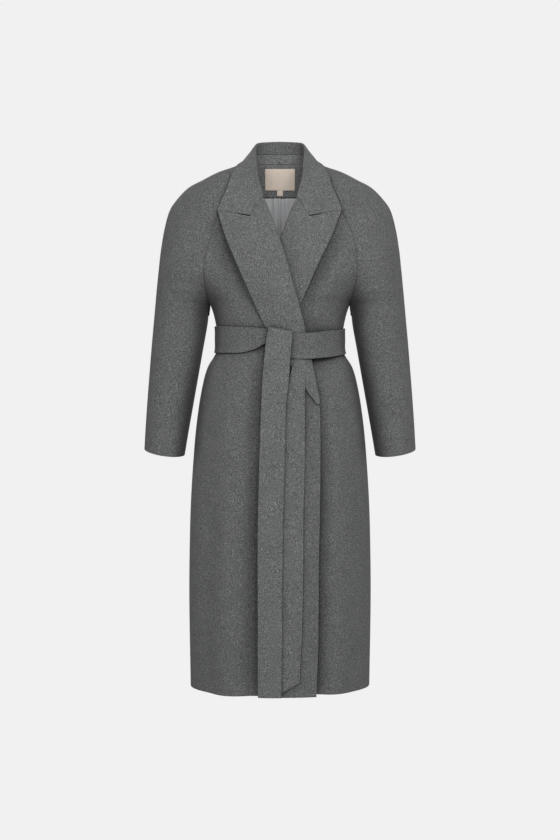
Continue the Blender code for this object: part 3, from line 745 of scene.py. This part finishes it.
def front_panel(node, side):
    """Half of the front; the wearer's left one lies under the right one, further in and a little shorter."""
    under = side > 0
    grid = []
    for z in zs_past_armpit(0.0, HEM_Z):
        nose = NOSE * smooth((z - BREAK_Z) / NOSE_FADE)
        edge = read("front_edge", z).x - nose
        outer = side * side_angle(z, side, -1)
        inner = girth_angle(-side * edge, read("body", z).half_width)
        low = smooth((UNDER_HEM_LIFT_FROM - z) / (UNDER_HEM_LIFT_FROM - HEM_Z))
        row = []
        for j in range(FRONT_COLUMNS + 1):
            angle = lerp(outer, inner, j / FRONT_COLUMNS)
            inset = under_inset(body_point(angle, z, folded=False)[0], z) if under else 0.0
            point = body_point(angle, z, -inset)
            if under:
                point[2] += UNDER_HEM_LIFT * low
            row.append(point)
        row[0] = row[0] + seam_shift(z, side, -1)
        grid.append(row)
    return cloth(node + "_cloth", grid, WALL, WOOL, node)


def back_row(z, out, shares):
    """Row of the back across its shares, raised in the middle where the neck rises."""
    reach = side_angle(z)
    rise = read("neck_rise", z).up
    return [body_point(s * reach, z + rise * (1 - s**RISE_POWER), out, 1) for s in shares]


def back_panel():
    grid = []
    for z in zs_past_armpit(0.0, HEM_Z):
        row = back_row(z, 0.0, shares_across(BACK_COLUMNS))
        row[0] = row[0] + seam_shift(z, -1, 1)
        row[-1] = row[-1] + seam_shift(z, 1, 1)
        grid.append(row)
    return cloth("back_cloth", grid, WALL, WOOL, "back")


back = back_panel()
front_right = front_panel("front_right", -1)
front_left = front_panel("front_left", 1)

# ---- sleeves ----
SLEEVE_COLUMNS = 112
SLEEVE_PITCH = 0.0050
ARMPIT_STEPS = 5
ARM_AXIS_TOP_X = 0.12
ARM_AXIS_LOW_X = 0.235
ARM_AXIS_TOP_Z = -0.09
ARM_AXIS_DROP = 0.3

# a ring or an arc of the sleeve, with its reach to either side of the top in radians
Loop = namedtuple("Loop", "centre along across reach")


def seam_loop(z, side):
    """The sleeve where its raglan seam is at z: an arc from the front seam over the top to the back seam."""
    station = read("raglan", z)
    front = body_point(side * side_angle(z, side, -1), z)
    rear = body_point(side * side_angle(z, side, 1), z, face=1)
    reach = math.radians(station.reach)
    top = np.array((side * station.ridge_x, 0.0, station.ridge_z))
    along = (top - (front + rear) / 2) / (1 - math.cos(reach))
    return Loop(top - along, along, (rear - front) / 2 / math.sin(reach), reach)


def ring_loop(ring, side):
    """The sleeve below the armpit, closed all round."""
    radius = (ring.outer_x - ring.inner_x) / 2
    droop = CUFF_DROP * smooth((ARMPIT_Z - ring.z) / (ARMPIT_Z - TABLES["sleeve"][-1].z))
    centre = np.array((side * (ring.inner_x + radius), ring.y, ring.z))
    along = np.array((side * radius, 0.0, ring.lean / 2))
    return Loop(centre, along, np.array((0.0, ring.half_depth, ring.half_depth * droop)), math.pi)


def sleeve(node, side):
    """Loops under the raglan seam, a blend across the armpit, then rings down to the cuff."""
    loops = [seam_loop(z, side) for z in zs_down(0.0, TABLES["raglan"][-1].z, PITCH)]
    rings = [ring_loop(ring, side) for ring in TABLES["sleeve"]]
    last = loops[-1]
    for k in range(1, ARMPIT_STEPS):
        loops.append(Loop(*(lerp(a, b, k / ARMPIT_STEPS) for a, b in zip(last, rings[0]))))
    rows = []
    for loop in loops + rings:
        row = []
        for j in range(SLEEVE_COLUMNS + 1):
            turn = lerp(-loop.reach, loop.reach, j / SLEEVE_COLUMNS)
            row.append(loop.centre + loop.along * math.cos(turn) + loop.across * math.sin(turn))
        rows.append(row)
    counts = steps(rows, SLEEVE_PITCH, 1)
    grid = through(rows, counts)
    closed_from = sum(counts[:len(loops)])
    grid[closed_from:, 0] = (grid[closed_from:, 0] + grid[closed_from:, -1]) / 2
    grid[closed_from:, -1] = grid[closed_from:, 0]

    def arm_axis(centres):
        t = np.clip(-centres[:, 2] / ARM_AXIS_DROP, 0, 1)
        x = side * lerp(ARM_AXIS_TOP_X, ARM_AXIS_LOW_X, t * t * (3 - 2 * t))
        return np.stack((x, 0 * x, np.minimum(centres[:, 2], ARM_AXIS_TOP_Z)), -1)

    return cloth(node + "_cloth", grid, WALL, WOOL, node, closed_from, arm_axis)


sleeve_right = sleeve("sleeve_right", -1)
sleeve_left = sleeve("sleeve_left", 1)

# ---- lapels ----
Gap = namedtuple("Gap", "at width")

LAPEL_ROWS = 130
LAPEL_COLUMNS = 60
LAPEL_ROOT = 0.012
LAPEL_EASE = 0.0014
EDGE_CLEAR = 0.0012
EDGE_STEPS = (4, 3, 4, 4, 1, 1)
TUCK = WALL * 0.9
BEHIND = -WALL - LAYER
ROOT_TAPER = 0.55
ROOT_TAPER_FROM = 0.8
ROOT_TAPER_SPAN = 0.2
NOTCH_CLOSED = 0.05
SEAM_LINE = 0.0003
NOTCH = (
    Gap(0.0, SEAM_LINE),
    Gap(0.24, SEAM_LINE),
    Gap(0.29, 0.0030),
    Gap(0.44, 0.0026),
    Gap(0.60, 0.0003),
    Gap(1.0, 0.0002),
)
LAPEL_LIFT = 0.0040
LIFT_POWER = 0.8
LIFT_FULL = 0.15
LIFT_END = 0.97
LIFT_FADE = 0.2
UNDER_CLEAR = 0.006
UNDER_FADE = 0.03


def lapel_point(edge_table, side, u, t):
    """Place on a lapel in the front's plane: u down it, t from the roll line to the outer edge."""
    roll_z = lerp(GORGE_Z, BREAK_Z, u)
    edge_z = lerp(TABLES[edge_table][0].z, TABLES[edge_table][-1].z, u)
    roll_x = read("front_edge", roll_z).x
    edge_x = read(edge_table, edge_z).x
    hat = t / NOTCH_AT if t < NOTCH_AT else (1 - t) / (1 - NOTCH_AT)
    sag = NOTCH_DROP * hat * (1 - smooth(u / NOTCH_FADE))
    return -side * lerp(roll_x, edge_x, t), lerp(roll_z, edge_z, t) - sag


def notch_gap(t):
    for a, b in zip(NOTCH, NOTCH[1:]):
        if t <= b.at:
            return lerp(a.width, b.width, smooth((t - a.at) / (b.at - a.at)))
    return NOTCH[-1].width


def on_front(side, x, z, out):
    """Point out metres off a front, on the ridges of its cloth; the wearer's left front is the under one."""
    base = under_inset(x, z) if side > 0 else 0.0
    ridge = max(relief(x, z, -1), 0.0)
    return on_body(x, z, out - base + ridge + math.copysign(EASE, out))


def lapel_swell(side, u, t, x, z):
    """How far the lapel's middle stands off the front, flat where the other lapel lies on it."""
    swell = LAPEL_LIFT * math.sin(math.pi * t) ** LIFT_POWER
    swell *= smooth(u / LIFT_FULL) * smooth((LIFT_END - u) / LIFT_FADE)
    if side > 0:
        swell *= smooth((x - read("front_edge", z).x - UNDER_CLEAR) / UNDER_FADE)
    return swell


def lapel_row(side, edge_table, u):
    """From inside the front, round its edge and out over the front to the lapel's own edge."""
    fade = 1 - smooth(u / NOTCH_CLOSED)
    taper = 1 - ROOT_TAPER * smooth((u - ROOT_TAPER_FROM) / ROOT_TAPER_SPAN)
    roll_x, roll_z = lapel_point(edge_table, side, u, 0.0)
    top = roll_z - notch_gap(0.0) * fade
    edge = [
        on_front(side, roll_x + side * LAPEL_ROOT * taper, top, BEHIND),
        on_front(side, roll_x + side * EDGE_CLEAR, top, BEHIND),
        on_front(side, roll_x - side * EDGE_CLEAR, top, -TUCK),
        on_front(side, roll_x - side * EDGE_CLEAR, top, LAP),
    ]
    turned = []
    for k in range(LAPEL_COLUMNS + 1):
        t = k / LAPEL_COLUMNS
        x, z = lapel_point(edge_table, side, u, t)
        out = LAYER + lapel_swell(side, u, t, x, z)
        turned.append(on_front(side, x + side * LAPEL_EASE * (1 - t), z - notch_gap(t) * fade, out))
    round_edge = through(edge + turned[:3], EDGE_STEPS)
    return list(round_edge[:-2]) + turned[1:]


def lapel(node, side, edge_table):
    grid = [lapel_row(side, edge_table, LAPEL_END * i / LAPEL_ROWS) for i in range(LAPEL_ROWS + 1)]
    # the lapels take the lighter copy of the wool: painted light
    return cloth(node + "_cloth", grid, WALL, WOOL_PAINTED_LIGHTER, node)


lapel_right = lapel("lapel_right", -1, "top_lapel")
lapel_left = lapel("lapel_left", 1, "under_lapel")

# ---- collar ----
COLLAR_PITCH = 0.0042
FOLD_START = 1.6
FOLD_TURNS = (180, 125, 70, 15)
FOLD_STEPS = [6, 3, 3, 3, 3]
STAND_STEPS = 8
GORGE_STEPS = 6
GORGE_TUCK = 0.0002
COLLAR_OUT = LAYER - WALL / 2


def collar_profile(station, side):
    """Stand, fold and fall of the collar at one station: the stand's points, then the turned part's."""
    seam, fold, edge = (np.array((side * p[0], p[1], p[2])) for p in station)
    up = (fold - seam) / np.linalg.norm(fold - seam)
    out = edge - fold
    out = out - up * out.dot(up)
    out /= np.linalg.norm(out)
    split = lerp(seam, fold, STAND_SHARE)
    centre = fold - up * FOLD_RADIUS + out * FOLD_RADIUS
    turned = [split + up * SEAM_GAP, fold - up * FOLD_RADIUS * FOLD_START]
    for degrees in FOLD_TURNS:
        turn = math.radians(degrees)
        turned.append(centre + out * FOLD_RADIUS * math.cos(turn) + up * FOLD_RADIUS * math.sin(turn))
    start = turned[-1]
    for k in range(1, FALL_STEPS + 1):
        t = k / FALL_STEPS
        turned.append(lerp(start, edge, t) + out * FALL_BULGE * math.sin(math.pi * t))
    return [seam, split - up * SEAM_GAP], turned


def gorge_profile(side, edge_table):
    """End row of the collar: round the front's edge, then along the gorge and the notch."""
    roll_x, roll_z = lapel_point(edge_table, side, 0.0, 0.0)
    row = [
        on_body(roll_x + side * LAPEL_ROOT, roll_z, BEHIND),
        on_body(roll_x + side * LAPEL_ROOT / 2, roll_z, BEHIND),
        on_body(roll_x + side * EDGE_CLEAR, roll_z, BEHIND),
        on_body(roll_x - side * GORGE_TUCK, roll_z, -TUCK),
        on_body(roll_x - side * GORGE_TUCK, roll_z, LAP),
        on_body(roll_x + side * LAPEL_EASE, roll_z, COLLAR_OUT),
    ]
    for share in LAPEL_ACROSS[1:]:
        x, z = lapel_point(edge_table, side, 0.0, share)
        row.append(on_body(x, z, COLLAR_OUT))
    return row


def fit_to_gorge(row, side, edge_table):
    """Put the turned part of an end row of the collar exactly on the lapel's upper line."""
    for k in range(GORGE_STEPS * FALL_STEPS + 1):
        i, step = divmod(k, GORGE_STEPS)
        t = lerp(LAPEL_ACROSS[i], LAPEL_ACROSS[min(i + 1, FALL_STEPS)], step / GORGE_STEPS)
        x, z = lapel_point(edge_table, side, 0.0, t)
        row[sum(FOLD_STEPS) + k] = on_body(x + side * LAPEL_EASE * (1 - t), z, COLLAR_OUT)


def collar():
    """The turned collar from gorge to gorge, and the stand inside it behind the neck."""
    stand, turned = [], []
    stations = [(row, -1) for row in reversed(COLLAR)] + [(row, 1) for row in COLLAR[1:]]
    for station, side in stations:
        low, high = collar_profile(station, side)
        turned.append(high)
        if station in COLLAR[:-2]:
            stand.append(low)
    turned.insert(0, gorge_profile(-1, "top_lapel"))
    turned.append(gorge_profile(1, "under_lapel"))
    rows = np.array([through(row, FOLD_STEPS + [GORGE_STEPS] * FALL_STEPS) for row in turned])
    fit_to_gorge(rows[0], -1, "top_lapel")
    fit_to_gorge(rows[-1], 1, "under_lapel")
    grid = through(rows, steps(rows, COLLAR_PITCH))
    # the turned collar takes the lighter copy of the wool: painted light
    piece = cloth("collar_cloth", grid, WALL, WOOL_PAINTED_LIGHTER, "collar", side=0)
    rows = np.array([through(row, [STAND_STEPS]) for row in stand])
    grid = through(rows, steps(rows, COLLAR_PITCH))
    # the stand takes the lighter inner copy of the wool: painted light inside the neck
    inner = cloth("collar_stand_cloth", grid, WALL, WOOL_INNER_PAINTED_LIGHT, "collar_stand", side=0)
    return piece, inner


collar_piece, collar_stand = collar()

# ---- inside the neck ----
Pleat = namedtuple("Pleat", "x height width")

LINING_TOP = -0.0549
LINING_CLEAR = 0.028
LINING_LOW_PITCH = 0.006
LINING_COLUMNS = 150
LINING_LEFT_OUT = 11
PLEATS = (
    Pleat(-0.001, 0.0060, 0.0028),
    Pleat(0.006, -0.0018, 0.0050),
)
GATHERS = (
    Pleat(-0.012, 0.0036, 0.0050),
    Pleat(0.016, 0.00216, 0.0060),
)
GATHERS_END = -0.135
GATHERS_FADE = 0.07
FACING_FOOT = -0.0545
FACING_PITCH = 0.003
FACING_COLUMNS = 140
FACING_LEFT_OUT = 10
FACING_STATIONS = 5
FACING_STEPS = 12


def depth_of(pleats, x):
    return sum(pleat.height * math.exp(-((x - pleat.x) / pleat.width) ** 2) for pleat in pleats)


def lining_ease(x, z):
    """The lining's ease: one pleat down its middle and soft gathers under the facing."""
    return depth_of(PLEATS, x) + smooth((z - GATHERS_END) / GATHERS_FADE) * depth_of(GATHERS, x)


def lining():
    grid = []
    for z in zs_past_armpit(LINING_TOP, HEM_Z + LINING_CLEAR, PITCH, LINING_LOW_PITCH):
        row = []
        for share in shares_across(LINING_COLUMNS, LINING_LEFT_OUT):
            angle = share * side_angle(z)
            plain = body_point(angle, z, folded=False, face=1)
            depth = WALL + 2 * LAP + lining_ease(plain[0], z)
            row.append(body_point(angle, z, -depth, 1))
        grid.append(row)
    return cloth("back_lining_cloth", grid, SATIN_WALL, SATIN, "back_lining", edge=THIN_EDGE_ROUND)


def neck_facing():
    """Its top edge comes forward to the stand's seam, and it eases back onto the body below."""
    shares = shares_across(FACING_COLUMNS, FACING_LEFT_OUT)
    rows = [back_row(z, -WALL - LAP, shares) for z in zs_down(0.0, FACING_FOOT, FACING_PITCH)]
    seam = [station.seam for station in COLLAR[:FACING_STATIONS]]
    line = through(seam, [FACING_STEPS] * (FACING_STATIONS - 1))
    top = np.array(rows[0])
    pull = np.zeros_like(top)
    pull[:, 1] = np.interp(abs(top[:, 0]), line[:, 0], line[:, 1]) - top[:, 1]
    pull[:, 2] = np.interp(abs(top[:, 0]), line[:, 0], line[:, 2]) - SEAM_GAP - top[:, 2]
    ease = [1 - smooth(k / (len(rows) - 1)) for k in range(len(rows))]
    grid = [np.array(row) + share * pull for row, share in zip(rows, ease)]
    # the neck facing takes the lighter inner copy of the wool: painted light inside the neck
    return cloth("neck_facing_cloth", grid, WALL, WOOL_INNER_PAINTED_LIGHT, "neck_facing", side=0)


LABEL_WIDTH = 0.067
LABEL_TOP = 0.0080
LABEL_HEIGHT = 0.0458
TAB_WIDTH = 0.0130
TAB_HEIGHT = 0.0118
LABEL_LIFT = 0.0008
LABEL_PUFF = 0.0005
LABEL_STEPS = (40, 28)
TAB_STEPS = (12, 12)


def label(node, width, top, height, counts):
    """Bare label, a little proud in its middle; counts are its steps across and down."""
    across, down = counts
    depth = 2 * WALL + LAP + LABEL_LIFT
    grid = []
    for k in range(down + 1):
        z = top - height * k / down
        row = []
        for j in range(across + 1):
            s = j / across
            puff = LABEL_PUFF * math.sin(math.pi * s) * math.sin(math.pi * k / down)
            row.append(on_body(width * (s - 0.5), z, -depth - puff, 1))
        grid.append(row)
    return cloth(node + "_cloth", grid, LABEL_WALL, LABEL, node, edge=THIN_EDGE_ROUND)


back_lining = lining()
facing = neck_facing()
neck_label = label("neck_label", LABEL_WIDTH, LABEL_TOP, LABEL_HEIGHT, LABEL_STEPS)
size_tab = label("size_tab", TAB_WIDTH, LABEL_TOP - LABEL_HEIGHT - SEAM_GAP, TAB_HEIGHT, TAB_STEPS)

# ---- belt ----
BAND_STEPS = 380
BAND_ACROSS = 14
BAND_PUFF = 0.0007
KNOT_LIFT = 0.0035
KNOT_LIFT_FROM = 26
KNOT_LIFT_SPAN = 14
KNOT_ACROSS = 12
TAIL_ACROSS = 20
TAIL_PITCH = 0.0050
TAIL_LEAST_STEPS = 5
TAIL_CROWN = 0.0006
TAIL_SLOPE = 0.0095
SLOPE_END = -0.425
SKIRT_CLOSE = 0.82
CLOSE_FROM = -0.50
CLOSE_SPAN = 0.12


def girth_point(turn, z, out):
    """Point round the whole body, its turn in degrees from the front's middle towards the wearer's right."""
    signed = -turn if turn <= 180 else 360 - turn
    if abs(signed) <= 90:
        return body_point(math.radians(signed), z, out, -1, False)
    return body_point(math.radians(math.copysign(180 - abs(signed), signed)), z, out, 1, False)


def belt_band():
    first, last = TABLES["band"][0].turn, TABLES["band"][-1].turn
    grid = []
    for i in range(BAND_STEPS + 1):
        row = read("band", lerp(first, last, i / BAND_STEPS))
        near_knot = smooth((KNOT_LIFT_FROM - row.turn) / KNOT_LIFT_SPAN)
        points = []
        for k in range(BAND_ACROSS + 1):
            s = k / BAND_ACROSS
            out = row.out + BAND_PUFF * math.sin(math.pi * s) + KNOT_LIFT * near_knot * s * s
            points.append(girth_point(row.turn, lerp(row.top, row.bottom, s), out))
        grid.append(points)
    return cloth("belt_band_cloth", grid, BELT_WALL, WOOL, "belt_band", edge=BELT_EDGE_ROUND)


def hanging(strips, across=TAIL_ACROSS, drop=0.0, crown=TAIL_CROWN, slope=0.0):
    """Rows across a hanging end; drop lowers the last one's left corner, slope the first ones' right side."""
    rows = []
    for strip in strips:
        slant = drop if strip is strips[-1] else 0.0
        close = lerp(1.0, SKIRT_CLOSE, smooth((CLOSE_FROM - strip.z) / CLOSE_SPAN))
        fall = slope * smooth((strip.z - SLOPE_END) / (strips[0].z - SLOPE_END))
        row = []
        for j in range(across + 1):
            s = j / across
            x = lerp(strip.left, strip.right, s)
            z = strip.z - slant * (1 - s) - fall * s
            row.append(on_body(x, z, strip.out * close + crown * math.sin(math.pi * s)))
        rows.append(row)
    return through(rows, steps(rows, TAIL_PITCH, TAIL_LEAST_STEPS))


def tail(node, rows):
    # the hanging ends take the lighter copy of the wool: painted light
    return cloth(node + "_cloth", rows, BELT_WALL, WOOL_PAINTED_LIGHTER, node, edge=BELT_EDGE_ROUND)


belt_piece = belt_band()
knot = cloth("belt_knot_cloth", hanging(KNOT, KNOT_ACROSS, crown=0.0), BELT_WALL, WOOL, "belt_knot")
tail_front = tail("belt_tail_front", hanging(TAIL_FRONT, slope=TAIL_SLOPE))
tail_back = tail("belt_tail_back", hanging(TAIL_BACK, drop=TAIL_POINT_DROP))

# ---- a record of what a piece is cut from; no piece is given one here ----
Cut = namedtuple("Cut", "piece slot width length area held rests_on")

# ---- floor, light and camera ----
PALE = 0.879
FLOOR_Z = -1.45
FLOOR_HALF = 9.0
AMBIENT = 0.24
LENS = 54.54
SENSOR = 36.0
CAMERA_PLACE = (0.0, -2.8, -0.559)


def plain_floor():
    ways = ((-1, -1), (1, -1), (1, 1), (-1, 1))
    mesh = bpy.data.meshes.new("floor")
    mesh.from_pydata([(x * FLOOR_HALF, y * FLOOR_HALF, FLOOR_Z) for x, y in ways], [], [(0, 1, 2, 3)])
    floor = bpy.data.objects.new("floor", mesh)
    bpy.context.scene.collection.objects.link(floor)
    look = bpy.data.materials.new("floor_pale")
    look.use_nodes = True
    tree = look.node_tree
    tree.nodes.remove(tree.nodes["Principled BSDF"])
    glow = add(tree, "ShaderNodeEmission")
    glow.inputs["Color"].default_value = (PALE, PALE, PALE, 1.0)
    tree.links.new(glow.outputs[0], tree.nodes["Material Output"].inputs["Surface"])
    mesh.materials.append(look)
    floor.visible_diffuse = False
    floor.visible_glossy = False
    floor.visible_shadow = False


def studio_world(ambient):
    world = bpy.data.worlds.new("studio")
    bpy.context.scene.world = world
    world.use_nodes = True
    tree = world.node_tree
    tree.nodes.clear()
    seen = add(tree, "ShaderNodeBackground")
    seen.inputs["Color"].default_value = (PALE, PALE, PALE, 1.0)
    lit = add(tree, "ShaderNodeBackground")
    lit.inputs["Color"].default_value = (1.0, 1.0, 1.0, 1.0)
    lit.inputs["Strength"].default_value = ambient
    path = add(tree, "ShaderNodeLightPath")
    mixed = add(tree, "ShaderNodeMixShader")
    out = add(tree, "ShaderNodeOutputWorld")
    tree.links.new(path.outputs["Is Camera Ray"], mixed.inputs["Fac"])
    tree.links.new(lit.outputs[0], mixed.inputs[1])
    tree.links.new(seen.outputs[0], mixed.inputs[2])
    tree.links.new(mixed.outputs[0], out.inputs["Surface"])


def softbox(name, place, aim, size, power):
    light = bpy.data.lights.new(name, "AREA")
    light.shape = "SQUARE"
    light.size = size
    light.energy = power
    lamp = bpy.data.objects.new(name, light)
    bpy.context.scene.collection.objects.link(lamp)
    lamp.location = place
    away = np.array(place) - np.array(aim)
    lamp.rotation_mode = "QUATERNION"
    lamp.rotation_quaternion = Vector(away).to_track_quat("Z", "Y")
    lamp.visible_camera = False


plain_floor()
studio_world(AMBIENT)
softbox("key", (0.9, -3.2, 1.2), aim=(0.0, 0.0, -0.55), size=1.2, power=63.0)
softbox("fill", (-0.5, -3.6, -0.10), aim=(0.0, 0.0, -0.60), size=1.4, power=52.0)
softbox("rear", (0.0, 3.6, 0.6), aim=(0.0, 0.0, -0.50), size=2.4, power=76.0)

camera_data = bpy.data.cameras.new("camera")
camera_data.lens = LENS
camera_data.sensor_width = SENSOR
camera = bpy.data.objects.new("camera", camera_data)
camera.location = CAMERA_PLACE
camera.rotation_euler = (math.radians(90), 0.0, 0.0)
bpy.context.scene.collection.objects.link(camera)
bpy.context.scene.camera = camera
bpy.context.scene.view_settings.view_transform = "Standard"
